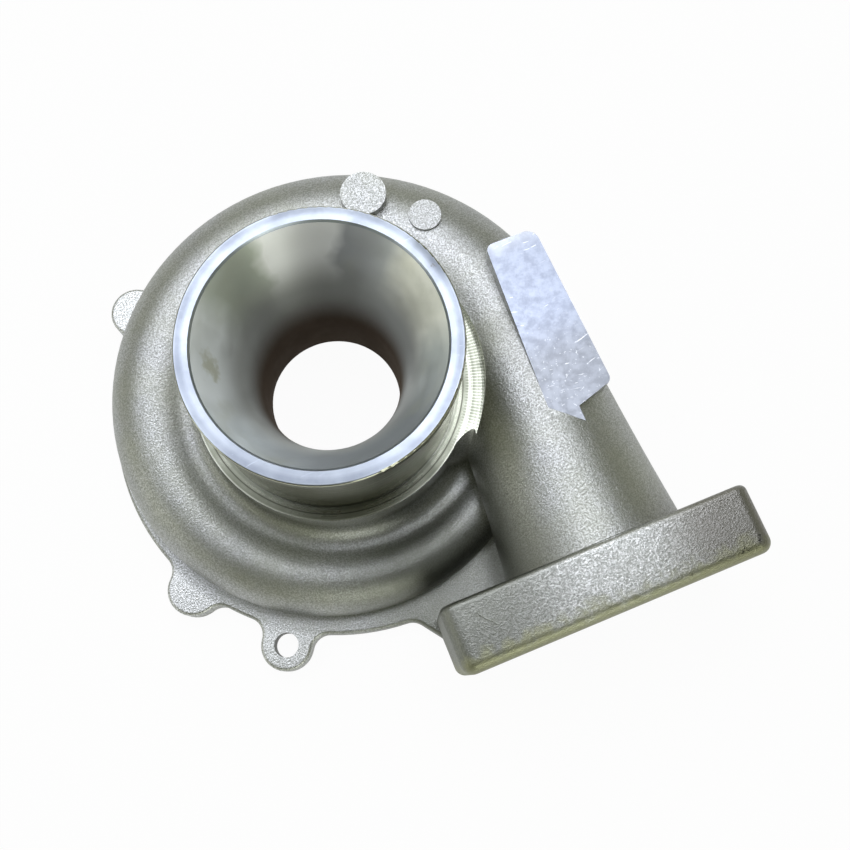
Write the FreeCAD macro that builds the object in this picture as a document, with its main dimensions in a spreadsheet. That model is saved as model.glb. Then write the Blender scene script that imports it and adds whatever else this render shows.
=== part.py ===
import FreeCAD, Part
import Sketcher
import math
import os

# Compressor housing of a turbocharger: one aluminium casting, machined at the inlet, back and outlet.
# Millimetres. The origin is on the impeller axis in the back face. +Z points to the air inlet.
# Azimuths are degrees about +Z from +X. The scroll grows clockwise seen from the inlet, and the
# discharge duct leaves along -Y.

SIZES = [
    # inlet collar and bore
    ("total_height", 102.0, "back face to inlet face"),
    ("lip_radius", 51.0, "hose lip at the inlet face"),
    ("lip_length", 6.0, "axial length of the hose lip"),
    ("lip_round", 0.8, "rounded edge of the lip"),
    ("lip_step", 1.7, "depth of the turned collar behind the lip"),
    ("collar_wall", 6.1, "lip to bell mouth at the inlet face"),
    ("mouth_chamfer", 0.8, "edge break of the bell mouth"),
    ("mouth_foot", 34.0, "height where the bell mouth meets the throat"),
    ("throat_radius", 26.7, "inducer throat"),
    ("contour_bend", 10.0, "radius of the shroud contour"),
    # turned shoulder round the collar
    ("shoulder_height", 48.5, "height of the turned shoulder"),
    ("shoulder_width", 11.1, "collar to the reach of the shoulder cut"),
    ("hub_step", 5.2, "collar to the cast hub below the shoulder"),
    ("hub_overlap", 14.5, "reach of the scroll sections into the hub"),
    # back flange
    ("rim_radius", 95.5, "back flange"),
    ("rim_thickness", 10.0, "back flange"),
    ("rim_round", 1.5, "cast upper edge of the back flange"),
    ("register_radius", 86.0, "recess for the backplate"),
    ("register_depth", 8.0, "recess for the backplate"),
    ("diffuser_gap", 4.5, "diffuser width above the recess floor"),
    ("diffuser_radius", 68.0, "outer end of the diffuser wall"),
    ("rim_bolt_circle", 91.0, "radius of the ring of tapped holes"),
    ("rim_bolt_radius", 2.5, "tapping drill in the back flange"),
    ("rim_bolt_depth", 7.5, "depth of the holes in the back flange"),
    ("rim_bolt_count", 6.0, "holes in the back flange"),
    ("rim_bolt_azimuth", 12.0, "place of the first hole in the back flange"),
    # scroll
    ("tongue_azimuth", 315.0, "first scroll section"),
    ("scroll_sweep", 315.0, "turn from the first to the last section"),
    ("scroll_start_radius", 11.2, "outer radius of the first section"),
    ("scroll_end_radius", 28.3, "outer radius of the last section"),
    ("scroll_start_centre", 73.5, "distance of the first section's centre from the axis"),
    ("scroll_end_centre", 74.2, "distance of the last section's centre from the axis"),
    ("scroll_lift", 1.0, "gap between the back face and the scroll's outer skin"),
    ("passage_start_radius", 6.6, "air passage at the first section"),
    ("passage_end_radius", 22.3, "air passage at the last section"),
    ("passage_start_centre", 73.5, "distance of the passage's centre at the first section"),
    ("passage_end_centre", 76.0, "distance of the passage's centre at the last section"),
    ("passage_floor", 5.6, "lowest z of the air passage in the scroll"),
    ("valley_start_radius", 8.0, "fillet between hub and scroll at the tongue"),
    ("valley_end_radius", 4.5, "fillet between hub and scroll at the last section"),
    # discharge duct
    ("duct_middle_distance", 45.0, "place of the duct's second section along -Y"),
    ("duct_middle_centre", 72.4, "x of the second section's centre"),
    ("duct_middle_level", 32.9, "z of the second section's centre"),
    ("duct_middle_radius", 31.9, "outer radius of the second section"),
    ("duct_far_distance", 74.0, "place of the duct's third section along -Y"),
    ("duct_far_centre", 72.2, "x of the third section's centre"),
    ("duct_far_level", 32.6, "z of the third section's centre"),
    ("duct_far_radius", 34.2, "outer radius of the third section"),
    ("duct_end_centre", 71.8, "x of the duct's centre at the flange"),
    ("duct_end_level", 32.2, "z of the duct's centre at the flange"),
    ("duct_end_radius", 36.8, "outer radius where the duct meets the flange"),
    ("duct_flare", 1.5, "fillet between duct and flange"),
    ("duct_flare_turn", 260.0, "reach of that fillet round the duct"),
    ("duct_flare_inset", 0.55, "depth of that fillet's edge inside the duct's skin"),
    ("duct_flat", 1.6, "z of the duct's flat underside"),
    ("duct_passage_middle_centre", 74.6, "x of the air passage at the second section"),
    ("duct_passage_middle_radius", 25.6, "air passage at the second section"),
    ("duct_passage_far_radius", 28.0, "air passage at the third section"),
    ("crotch_reach", 44.3, "distance of the last section that joins hub and duct"),
    ("crotch_fillet", 5.0, "fillet between hub and duct"),
    ("crotch_inset", 0.8, "depth of that fillet's section inside the duct's skin"),
    ("skin_overlap", 0.15, "overlap that lets a fillet meet its skin"),
    # outlet flange
    ("flange_distance", 98.0, "axis to the flange's rear face"),
    ("flange_thickness", 26.2, "outlet flange"),
    ("flange_left", 4.6, "x of the flange's inner end"),
    ("flange_length", 122.4, "outlet flange along x"),
    ("flange_height", 71.0, "outlet flange along z"),
    ("flange_corner", 6.0, "corner radius of the flange"),
    ("flange_round", 2.6, "cast edges of the flange's rear"),
    ("flange_front_round", 4.5, "cast edges of the flange's front"),
    ("port_radius", 28.8, "outlet port"),
    ("port_centre", 70.0, "x of the outlet port"),
    ("port_level", 34.6, "z of the outlet port"),
    ("bolt_spacing_x", 92.0, "tapped holes of the outlet"),
    ("bolt_spacing_z", 46.0, "tapped holes of the outlet"),
    ("bolt_hole_radius", 4.25, "tapping drill in the flange"),
    ("bolt_hole_depth", 18.0, "depth of the holes in the flange"),
    # machined pad on the duct
    ("pad_height", 64.2, "z of the milled pad"),
    ("pad_left_top", 75.4, "x of the pad's inner edge at its upper end"),
    ("pad_left_low", 72.0, "x of the pad's inner edge at its lower end"),
    ("pad_right_top", 96.4, "x of the pad's outer edge at its upper end"),
    ("pad_right_low", 98.8, "x of the pad's outer edge at its lower end"),
    ("pad_top", 25.2, "y of the pad's upper end"),
    ("pad_low", -44.2, "y of the pad's lower inner corner"),
    ("pad_end", -44.0, "y of the pad's lower end at its outer corner"),
    ("pad_notch", -47.8, "y of the pad's lower end at the runout"),
    ("pad_notch_across", 83.2, "x of the runout's outer edge"),
    ("pad_tip", -54.0, "y of the runout's tip"),
    ("pad_corner", 5.0, "outer upper corner radius of the pad"),
    ("pad_small_corner", 3.0, "other corner radii of the pad"),
    ("pad_root", 30.0, "height of the pad's wall"),
    # round bosses on the scroll
    ("boss_large_radius", 9.35, "round boss"),
    ("boss_large_distance", 79.5, "axis to the boss"),
    ("boss_large_azimuth", 59.4, "place of the boss"),
    ("boss_large_height", 55.5, "z of the boss face"),
    ("boss_small_radius", 6.6, "low round boss"),
    ("boss_small_distance", 78.8, "axis to the boss"),
    ("boss_small_azimuth", 40.0, "place of the boss"),
    ("boss_small_height", 54.6, "z of the boss face"),
    ("boss_root", 14.0, "depth of the bosses into the scroll"),
    # lugs on the back flange
    ("lug_blend", 7.0, "concave radius between lug and flange"),
    ("ear_radius", 10.9, "blank lug beside the scroll"),
    ("ear_distance", 100.2, "axis to the lug"),
    ("ear_azimuth", 132.0, "place of the lug"),
    ("stub_radius", 11.0, "blank lug"),
    ("stub_distance", 96.8, "axis to the lug"),
    ("stub_azimuth", 210.7, "place of the lug"),
    ("eye_radius", 10.5, "lug with the through hole"),
    ("eye_distance", 101.7, "axis to the lug"),
    ("eye_azimuth", 236.8, "place of the lug"),
    ("eye_hole_radius", 5.0, "through hole"),
    # plate between back flange, duct and outlet flange
    ("web_end_across", 8.0, "x where the plate's free edge ends inside the flange"),
    ("web_end_up", -111.0, "y where the plate's free edge ends inside the flange"),
    ("web_angle", -54.0, "direction of the plate's free edge"),
    ("web_blend", 7.0, "concave radius at the plate's free edge"),
    ("web_inner", 60.0, "x of the plate's inner end, inside the duct"),
]

SCROLL_SECTIONS = 11
CROTCH_SHARES = (0.0, 0.35, 0.7, 0.86, 0.94, 0.98, 1.0)
FULL_TURN = 360.0
CLEAR = 1.0
NEAR = 0.01

doc = FreeCAD.newDocument("compressor_housing")
sheet = doc.addObject("Spreadsheet::Sheet", "Sizes")
for row, (alias, number, note) in enumerate(SIZES, start=1):
    sheet.set("A%d" % row, note)
    sheet.set("B%d" % row, str(number))
    sheet.setAlias("B%d" % row, alias)
doc.recompute()


class Size:
    # A length or angle with the formula that binds it to the sheet.
    def __init__(self, value, formula):
        self.value = value
        self.formula = formula

    def __add__(self, other):
        other = as_size(other)
        return Size(self.value + other.value, "(%s + %s)" % (self.formula, other.formula))

    def __sub__(self, other):
        other = as_size(other)
        return Size(self.value - other.value, "(%s - %s)" % (self.formula, other.formula))

    def __mul__(self, other):
        other = as_size(other)
        return Size(self.value * other.value, "(%s * %s)" % (self.formula, other.formula))

    def __truediv__(self, other):
        other = as_size(other)
        return Size(self.value / other.value, "(%s / %s)" % (self.formula, other.formula))


def as_size(item):
    return item if isinstance(item, Size) else Size(float(item), "%.6f" % item)


def get(alias):
    return Size(float(getattr(sheet, alias)), "Sizes." + alias)


def cosine(angle):
    return Size(math.cos(math.radians(angle.value)), "cos(%s)" % angle.formula)


def sine(angle):
    return Size(math.sin(math.radians(angle.value)), "sin(%s)" % angle.formula)


def leg(hypotenuse, other):
    # The second leg of a right-angled triangle.
    value = math.sqrt(hypotenuse.value ** 2 - other.value ** 2)
    return Size(value, "sqrt(pow(%s; 2) - pow(%s; 2))" % (hypotenuse.formula, other.formula))


def between(start, end, share):
    return get(start) + (get(end) - get(start)) * share


ZERO = Size(0.0, "0")
UP = FreeCAD.Vector(0, 0, 1)
NECK = get("lip_radius") - get("lip_step")
MOUTH = get("lip_radius") - get("collar_wall")
HUB = NECK + get("hub_step")

body = doc.addObject("PartDesign::Body", "compressor_housing")
body.Label = "compressor_housing"
PLANES = {feature.Role: feature for feature in body.Origin.OriginFeatures}


# Sketch planes

def new_sketch(name, plane):
    sketch = body.newObject("Sketcher::SketchObject", name)
    sketch.AttachmentSupport = [(PLANES[plane], "")]
    sketch.MapMode = "FlatFace"
    return sketch


def radial_sketch(name, azimuth):
    # Half plane through the axis at an azimuth: across is the radius, up is z.
    sketch = new_sketch(name, "XZ_Plane")
    turn = FreeCAD.Rotation(FreeCAD.Vector(0, 1, 0), azimuth.value)
    sketch.AttachmentOffset = FreeCAD.Placement(FreeCAD.Vector(), turn)
    sketch.setExpression("AttachmentOffset.Rotation.Angle", azimuth.formula)
    return sketch


def moved_sketch(name, plane, distance):
    sketch = new_sketch(name, plane)
    move = FreeCAD.Vector(0, 0, distance.value)
    sketch.AttachmentOffset = FreeCAD.Placement(move, FreeCAD.Rotation())
    sketch.setExpression("AttachmentOffset.Base.z", distance.formula)
    return sketch


def cross_sketch(name, distance):
    # Plane across the duct at a distance along -Y: across is x, up is z.
    return moved_sketch(name, "XZ_Plane", distance)


def level_sketch(name, height):
    # Plane parallel to the back face: across is x, up is y.
    return moved_sketch(name, "XY_Plane", height)


# Sketch geometry and constraints

def vec(across, up):
    return FreeCAD.Vector(across, up, 0)


def polar(distance, azimuth):
    angle = math.radians(azimuth)
    return vec(distance * math.cos(angle), distance * math.sin(angle))


def bind(sketch, name, size, *constraint):
    index = sketch.addConstraint(Sketcher.Constraint(*constraint, size.value))
    sketch.renameConstraint(index, name)
    sketch.setExpression("Constraints." + name, size.formula)


def bind_point(sketch, name, geometry, point, across, up):
    if across is ZERO:
        sketch.addConstraint(Sketcher.Constraint("PointOnObject", geometry, point, -2))
    else:
        bind(sketch, name + "_across", across, "DistanceX", -1, 1, geometry, point)
    if up is ZERO:
        sketch.addConstraint(Sketcher.Constraint("PointOnObject", geometry, point, -1))
    else:
        bind(sketch, name + "_up", up, "DistanceY", -1, 1, geometry, point)


def add_circle(sketch, name, across, up, radius):
    circle = Part.Circle(vec(across.value, up.value), UP, radius.value)
    geometry = sketch.addGeometry(circle)
    bind_point(sketch, name, geometry, 3, across, up)
    bind(sketch, name + "_radius", radius, "Radius", geometry)


def arc_between(centre, radius, start, end, left):
    # Arc from start to end that turns left or right round a centre.
    begin = math.atan2(start.y - centre.y, start.x - centre.x)
    finish = math.atan2(end.y - centre.y, end.x - centre.x)
    if not left:
        begin, finish = finish, begin
    while finish <= begin:
        finish += 2 * math.pi
    return Part.ArcOfCircle(Part.Circle(centre, UP, radius), begin, finish)


def arc_through(start, end, radius, left):
    # Short arc from start to end that turns left or right.
    chord = end - start
    rise = math.sqrt(radius ** 2 - (chord.Length / 2) ** 2)
    side = vec(-chord.y, chord.x).normalize() * (1 if left else -1)
    return arc_between((start + end) * 0.5 + side * rise, radius, start, end, left)


def add_outline(sketch, corners, left_arcs, right_arcs):
    # Closed outline through corners. The arcs give a radius to the side that starts at a corner.
    points = [vec(across.value, up.value) for across, up in corners]
    count = len(corners)
    radii = {**left_arcs, **right_arcs}
    for index in range(count):
        start = points[index]
        end = points[(index + 1) % count]
        if index in radii:
            sketch.addGeometry(arc_through(start, end, radii[index].value, index in left_arcs))
        else:
            sketch.addGeometry(Part.LineSegment(start, end))
    heads = [2 if index in right_arcs else 1 for index in range(count)]
    for index in range(count):
        after = (index + 1) % count
        tail = 3 - heads[index]
        sketch.addConstraint(Sketcher.Constraint("Coincident", index, tail, after, heads[after]))
    for index, (across, up) in enumerate(corners):
        bind_point(sketch, "corner_%d" % index, index, heads[index], across, up)
    for index, radius in radii.items():
        bind(sketch, "arc_%d" % index, radius, "Radius", index)


# Features

CUTS = ("Pocket", "Groove", "SubtractiveLoft")


def add_feature(kind, name, sketch):
    feature = body.newObject("PartDesign::" + kind, name)
    feature.Profile = sketch
    feature.Refine = kind not in CUTS
    return feature


def add_turned(kind, name, sketch):
    feature = add_feature(kind, name, sketch)
    feature.ReferenceAxis = (PLANES["Z_Axis"], [""])
    feature.Angle = FULL_TURN
    return feature


def add_straight(kind, name, sketch, length, reverse):
    feature = add_feature(kind, name, sketch)
    feature.Length = length.value
    feature.setExpression("Length", length.formula)
    feature.Reversed = reverse
    return feature


def add_loft(kind, name, sketches):
    loft = add_feature(kind, name, sketches[0])
    loft.Sections = sketches[1:]
    return loft


def add_rounding(name, base, radius, chosen):
    # Fillet on the edges of the base that the chooser accepts.
    doc.recompute()
    edges = ["Edge%d" % (index + 1) for index, edge in enumerate(base.Shape.Edges) if chosen(edge)]
    rounding = body.newObject("PartDesign::Fillet", name)
    rounding.Base = (base, edges)
    rounding.Radius = radius.value
    rounding.setExpression("Radius", radius.formula)
    return rounding


# Outlet flange

def flange_outline():
    sketch = cross_sketch("flange_outline", get("flange_distance"))
    left = get("flange_left")
    right = left + get("flange_length")
    high = get("flange_height")
    soft = get("flange_corner")
    corners = [
        (left + soft, ZERO), (right - soft, ZERO), (right, soft), (right, high - soft),
        (right - soft, high), (left + soft, high), (left, high - soft), (left, soft)]
    add_outline(sketch, corners, {1: soft, 3: soft, 5: soft, 7: soft}, {})
    return sketch


flange = add_straight("Pad", "flange", flange_outline(), get("flange_thickness"), False)


def on_level(edge, distance):
    box = edge.BoundBox
    return box.YLength < NEAR and abs(box.YMin + distance.value) < NEAR


rear_rounding = add_rounding(
    "rear_rounding", flange, get("flange_round"), lambda edge: on_level(edge, get("flange_distance")))
flange_front = get("flange_distance") + get("flange_thickness")
front_rounding = add_rounding(
    "front_rounding", rear_rounding, get("flange_front_round"), lambda edge: on_level(edge, flange_front))


# Fillet between duct and outlet flange

def flare_profile():
    # Upright plane through the duct's middle: across is y, up is z.
    sketch = moved_sketch("flare_profile", "YZ_Plane", get("duct_end_centre"))
    level = get("duct_end_level")
    high = level + get("duct_end_radius") - get("duct_flare_inset")
    soft = get("duct_flare")
    rear = ZERO - get("flange_distance") - get("skin_overlap")
    corners = [
        (rear - CLEAR, high - soft), (rear + soft, high - soft), (rear + soft, high), (rear, high + soft),
        (rear - CLEAR, high + soft)]
    add_outline(sketch, corners, {}, {2: soft})
    start = vec(rear.value, level.value)
    axis = sketch.addGeometry(Part.LineSegment(start, start + vec(soft.value, 0)), True)
    bind_point(sketch, "axis_start", axis, 1, rear, level)
    bind_point(sketch, "axis_end", axis, 2, rear + soft, level)
    return sketch


flare_sketch = flare_profile()
flare = add_feature("Revolution", "flare", flare_sketch)
flare.ReferenceAxis = (flare_sketch, ["Axis0"])
flare.Midplane = True
flare.Angle = get("duct_flare_turn").value
flare.setExpression("Angle", get("duct_flare_turn").formula)


# Back flange with its lugs and the plate that joins it to the outlet flange

LUGS = ("ear", "stub", "eye")


def lug_arcs(lug):
    # Blend, lug and blend, with the points where they meet the back flange.
    rim = get("rim_radius").value
    soft = get("lug_blend").value
    radius = get(lug + "_radius").value
    distance = get(lug + "_distance").value
    azimuth = get(lug + "_azimuth").value
    reach = rim + soft
    cosine_turn = (reach ** 2 + distance ** 2 - (radius + soft) ** 2) / (2 * distance * reach)
    turn = math.degrees(math.acos(cosine_turn))
    centre = polar(distance, azimuth)
    before = polar(reach, azimuth - turn)
    after = polar(reach, azimuth + turn)
    meet_before = before + (centre - before) * (soft / (radius + soft))
    meet_after = after + (centre - after) * (soft / (radius + soft))
    enter = polar(rim, azimuth - turn)
    leave = polar(rim, azimuth + turn)
    arcs = [
        arc_between(before, soft, enter, meet_before, False),
        arc_between(centre, radius, meet_before, meet_after, True),
        arc_between(after, soft, meet_after, leave, False)]
    return arcs, enter, leave


def web_blend():
    # Centre of the arc between back flange and free edge, and its two ends.
    rim = get("rim_radius").value
    soft = get("web_blend").value
    heading = polar(1, get("web_angle").value)
    web_end = vec(get("web_end_across").value, get("web_end_up").value)
    offset = web_end + vec(heading.y, -heading.x) * soft
    along = offset.dot(heading)
    shift = math.sqrt(along ** 2 - offset.Length ** 2 + (rim + soft) ** 2) - along
    centre = offset + heading * shift
    return centre, centre * (rim / (rim + soft)), web_end + heading * shift, web_end


def plate_shapes():
    # Outline of the plate anticlockwise, its turns, and the places of the back flange's arcs.
    rim = get("rim_radius").value
    inner = get("web_inner").value
    start = vec(inner, -math.sqrt(rim ** 2 - inner ** 2))
    here = start
    shapes = []
    turns = []
    rims = []
    for lug in LUGS:
        arcs, enter, leave = lug_arcs(lug)
        rims.append(len(shapes))
        shapes.append(arc_between(vec(0, 0), rim, here, enter, True))
        shapes.extend(arcs)
        turns.extend([True, False, True, False])
        here = leave
    centre, blend_start, blend_end, web_end = web_blend()
    rims.append(len(shapes))
    shapes.append(arc_between(vec(0, 0), rim, here, blend_start, True))
    shapes.append(arc_between(centre, get("web_blend").value, blend_start, blend_end, False))
    shapes.append(Part.LineSegment(blend_end, web_end))
    shapes.append(Part.LineSegment(web_end, vec(inner, web_end.y)))
    shapes.append(Part.LineSegment(vec(inner, web_end.y), start))
    turns.extend([True, False, True, True, True])
    return shapes, turns, rims


def plate_outline():
    sketch = new_sketch("plate_outline", "XY_Plane")
    shapes, turns, rims = plate_shapes()
    for shape in shapes:
        sketch.addGeometry(shape)
    count = len(shapes)
    for index in range(count):
        after = (index + 1) % count
        tail = 2 if turns[index] else 1
        head = 1 if turns[after] else 2
        kind = "Tangent" if index < count - 3 else "Coincident"
        sketch.addConstraint(Sketcher.Constraint(kind, index, tail, after, head))
    for index in rims:
        sketch.addConstraint(Sketcher.Constraint("Coincident", index, 3, -1, 1))
    for index in rims[1:]:
        sketch.addConstraint(Sketcher.Constraint("Equal", rims[0], index))
    bind(sketch, "rim", get("rim_radius"), "Radius", rims[0])
    for place, lug in enumerate(LUGS):
        first = rims[place] + 1
        distance = get(lug + "_distance")
        azimuth = get(lug + "_azimuth")
        bind_point(sketch, lug, first + 1, 3, distance * cosine(azimuth), distance * sine(azimuth))
        bind(sketch, lug + "_lug", get(lug + "_radius"), "Radius", first + 1)
        bind(sketch, lug + "_enter", get("lug_blend"), "Radius", first)
        bind(sketch, lug + "_leave", get("lug_blend"), "Radius", first + 2)
    blend = rims[-1] + 1
    bind(sketch, "web_soft", get("web_blend"), "Radius", blend)
    bind_point(sketch, "web_end", blend + 1, 2, get("web_end_across"), get("web_end_up"))
    heading = Size(math.radians(get("web_angle").value), "Sizes.web_angle * 1 deg")
    bind(sketch, "web_heading", heading, "Angle", blend + 1)
    sketch.addConstraint(Sketcher.Constraint("Horizontal", blend + 2))
    sketch.addConstraint(Sketcher.Constraint("Vertical", blend + 3))
    bind(sketch, "web_inner", get("web_inner"), "DistanceX", -1, 1, blend + 3, 1)
    return sketch


plate = add_straight("Pad", "plate", plate_outline(), get("rim_thickness"), False)


def on_rim_edge(edge):
    # Upper arcs of the round back flange: lugs and plate follow because they are tangent.
    box = edge.BoundBox
    level = get("rim_thickness").value
    flat = abs(box.ZMin - level) < NEAR and abs(box.ZMax - level) < NEAR
    round_edge = edge.Curve.TypeId == "Part::GeomCircle"
    return flat and round_edge and abs(edge.Curve.Radius - get("rim_radius").value) < NEAR


plate_rounding = add_rounding("plate_rounding", plate, get("rim_round"), on_rim_edge)


# Collar and hub

def core_profile():
    sketch = new_sketch("core_profile", "XZ_Plane")
    top = get("total_height")
    lip = get("lip_radius")
    soft = get("lip_round")
    foot = top - get("lip_length")
    neck = NECK
    hub = HUB
    shoulder = get("shoulder_height")
    corners = [
        (ZERO, ZERO), (hub, ZERO), (hub, shoulder), (neck, shoulder), (neck, foot),
        (lip, foot + lip - neck), (lip, top - soft), (lip - soft, top), (ZERO, top)]
    add_outline(sketch, corners, {6: soft}, {})
    return sketch


core = add_turned("Revolution", "core", core_profile())


# Scroll: sections round the axis, each with the fillet that joins it to the hub

def joined_section(sketch, wall, inner, centre, lift, skin, fillet):
    # Hub wall, fillet and round section, closed inside the hub.
    reach = skin + fillet
    pocket = wall + fillet
    high = lift + leg(reach, centre - pocket)
    meet_across = pocket + (centre - pocket) * (fillet / reach)
    meet_up = high + (lift - high) * (fillet / reach)
    low = lift - skin
    corners = [(inner, low), (centre, low), (meet_across, meet_up), (wall, high), (inner, high)]
    points = [vec(across.value, up.value) for across, up in corners]
    middle = vec(centre.value, lift.value)
    pivot = vec(pocket.value, high.value)
    sketch.addGeometry(Part.LineSegment(points[0], points[1]))
    sketch.addGeometry(arc_between(middle, skin.value, points[1], points[2], True))
    sketch.addGeometry(arc_between(pivot, fillet.value, points[2], points[3], False))
    sketch.addGeometry(Part.LineSegment(points[3], points[4]))
    sketch.addGeometry(Part.LineSegment(points[4], points[0]))
    for constraint in (
            ("Tangent", 0, 2, 1, 1), ("Tangent", 1, 2, 2, 2), ("Coincident", 2, 1, 3, 1),
            ("Coincident", 3, 2, 4, 1), ("Coincident", 4, 2, 0, 1), ("Horizontal", 0),
            ("Horizontal", 3), ("Vertical", 4), ("Horizontal", 2, 3, 3, 1)):
        sketch.addConstraint(Sketcher.Constraint(*constraint))
    bind_point(sketch, "centre", 1, 3, centre, lift)
    bind(sketch, "radius", skin, "Radius", 1)
    bind(sketch, "fillet", fillet, "Radius", 2)
    bind(sketch, "wall", wall, "DistanceX", -1, 1, 3, 1)
    bind(sketch, "inner", inner, "DistanceX", -1, 1, 4, 1)


def scroll_azimuth(share):
    return get("tongue_azimuth") - get("scroll_sweep") * share


def scroll_values(share):
    radius = between("scroll_start_radius", "scroll_end_radius", share)
    centre = between("scroll_start_centre", "scroll_end_centre", share)
    return centre, radius + get("scroll_lift"), radius


def scroll_section(name, share):
    sketch = radial_sketch(name, scroll_azimuth(share))
    centre, lift, radius = scroll_values(share)
    fillet = between("valley_start_radius", "valley_end_radius", share)
    joined_section(sketch, HUB, HUB - get("hub_overlap"), centre, lift, radius, fillet)
    return sketch


SHARES = [index / (SCROLL_SECTIONS - 1) for index in range(SCROLL_SECTIONS)]
scroll = add_loft("AdditiveLoft", "scroll", [
    scroll_section("scroll_section_%d" % index, share) for index, share in enumerate(SHARES)])


# Discharge duct: round sections from the last scroll section to the outlet flange

def duct_stations():
    # Distance along -Y, x, z and radius of each section.
    skin = get("scroll_end_radius")
    start = (ZERO, get("scroll_end_centre"), skin + get("scroll_lift"), skin)
    middle = tuple(get("duct_middle_" + word) for word in ("distance", "centre", "level", "radius"))
    far = tuple(get("duct_far_" + word) for word in ("distance", "centre", "level", "radius"))
    end = (get("flange_distance"), get("duct_end_centre"), get("duct_end_level"), get("duct_end_radius"))
    return [start, middle, far, end]


def duct_section(name, distance, centre, level, radius):
    # Round section with a flat underside.
    sketch = cross_sketch(name, distance)
    flat = get("duct_flat")
    half = leg(radius, level - flat).value
    left = vec(centre.value - half, flat.value)
    right = vec(centre.value + half, flat.value)
    sketch.addGeometry(Part.LineSegment(left, right))
    sketch.addGeometry(arc_between(vec(centre.value, level.value), radius.value, right, left, True))
    for constraint in (("Coincident", 0, 2, 1, 1), ("Coincident", 1, 2, 0, 1), ("Horizontal", 0)):
        sketch.addConstraint(Sketcher.Constraint(*constraint))
    bind_point(sketch, "centre", 1, 3, centre, level)
    bind(sketch, "radius", radius, "Radius", 1)
    bind(sketch, "flat", flat, "DistanceY", -1, 1, 0, 1)
    return sketch


duct = add_loft("AdditiveLoft", "duct", [
    duct_section("duct_section_%d" % index, *station) for index, station in enumerate(duct_stations())])


# Fillet between hub and duct

def crotch_section(name, share):
    distance = get("crotch_reach") * share
    near = distance / get("duct_middle_distance")
    radius = between("scroll_end_radius", "duct_middle_radius", near)
    centre = between("scroll_end_centre", "duct_middle_centre", near)
    fillet = get("crotch_fillet")
    hub_side = leg(HUB, distance)
    wall = hub_side - get("skin_overlap")
    inner = hub_side - fillet * 2
    level = radius + get("scroll_lift")
    sketch = cross_sketch(name, distance)
    joined_section(sketch, wall, inner, centre, level, radius - get("crotch_inset"), fillet)
    return sketch


crotch = add_loft("AdditiveLoft", "crotch", [
    crotch_section("crotch_section_%d" % index, share) for index, share in enumerate(CROTCH_SHARES)])


# Milled pad on the duct

def pad_outline(name):
    sketch = level_sketch(name, get("pad_height"))
    soft = get("pad_corner")
    small = get("pad_small_corner")
    top = get("pad_top")
    left = get("pad_left_top")
    right = get("pad_right_top")
    right_low = get("pad_right_low")
    end = get("pad_end")
    notch = get("pad_notch_across")
    corners = [
        (get("pad_left_low"), get("pad_low")), (notch, get("pad_tip")), (notch, get("pad_notch")),
        (right_low - small, end), (right_low, end + small), (right, top - soft), (right - soft, top),
        (left + small, top), (left, top - small)]
    add_outline(sketch, corners, {3: small, 5: soft, 7: small}, {})
    return sketch


milled_pad = add_straight(
    "Pad", "milled_pad", pad_outline("pad_outline"), get("pad_height") - get("pad_root"), True)


# Round bosses

def add_boss(name):
    distance = get(name + "_distance")
    azimuth = get(name + "_azimuth")
    sketch = level_sketch(name + "_outline", get(name + "_height"))
    add_circle(sketch, name, distance * cosine(azimuth), distance * sine(azimuth), get(name + "_radius"))
    return add_straight("Pad", name, sketch, get("boss_root"), True)


add_boss("boss_large")
add_boss("boss_small")


# Air passage in scroll and duct

def passage_values(share):
    radius = between("passage_start_radius", "passage_end_radius", share)
    centre = between("passage_start_centre", "passage_end_centre", share)
    return centre, radius + get("passage_floor"), radius


def ring_section(name, distance, centre, level, radius):
    sketch = cross_sketch(name, distance)
    add_circle(sketch, "ring", centre, level, radius)
    return sketch


def passage_section(name, share):
    sketch = radial_sketch(name, scroll_azimuth(share))
    add_circle(sketch, "ring", *passage_values(share))
    return sketch


def duct_passage_stations():
    outlet = get("flange_distance") + get("flange_thickness") + CLEAR
    middle = (
        get("duct_middle_distance"), get("duct_passage_middle_centre"), get("duct_middle_level"),
        get("duct_passage_middle_radius"))
    far = (
        get("duct_far_distance"), get("duct_far_centre"), get("duct_far_level"),
        get("duct_passage_far_radius"))
    return [
        (ZERO, *passage_values(1.0)), middle, far,
        (outlet, get("port_centre"), get("port_level"), get("port_radius"))]


scroll_passage = add_loft("SubtractiveLoft", "scroll_passage", [
    passage_section("passage_section_%d" % index, share) for index, share in enumerate(SHARES)])
duct_passage = add_loft("SubtractiveLoft", "duct_passage", [
    ring_section("duct_passage_section_%d" % index, *station)
    for index, station in enumerate(duct_passage_stations())])


# Turned faces

def bore_profile():
    # Bell mouth, throat and shroud contour.
    sketch = new_sketch("bore_profile", "XZ_Plane")
    top = get("total_height")
    mouth = MOUTH
    edge = get("mouth_chamfer")
    throat = get("throat_radius")
    bend = get("contour_bend")
    floor = get("register_depth") + get("diffuser_gap")
    foot = get("mouth_foot")
    low = floor - CLEAR
    corners = [
        (ZERO, low), (throat + bend, low), (throat + bend, floor), (throat, floor + bend), (throat, foot),
        (mouth, top - edge), (mouth + edge + CLEAR, top + CLEAR), (ZERO, top + CLEAR)]
    rise = top - edge - foot
    spread = mouth - throat
    bell = (rise * rise + spread * spread) / (spread * 2)
    add_outline(sketch, corners, {}, {2: bend, 4: bell})
    return sketch


def diffuser_profile():
    sketch = new_sketch("diffuser_profile", "XZ_Plane")
    recess = get("register_depth")
    reach = get("diffuser_radius")
    floor = recess + get("diffuser_gap")
    low = recess - CLEAR
    add_outline(sketch, [(ZERO, low), (reach, low), (reach, floor), (ZERO, floor)], {}, {})
    return sketch


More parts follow.
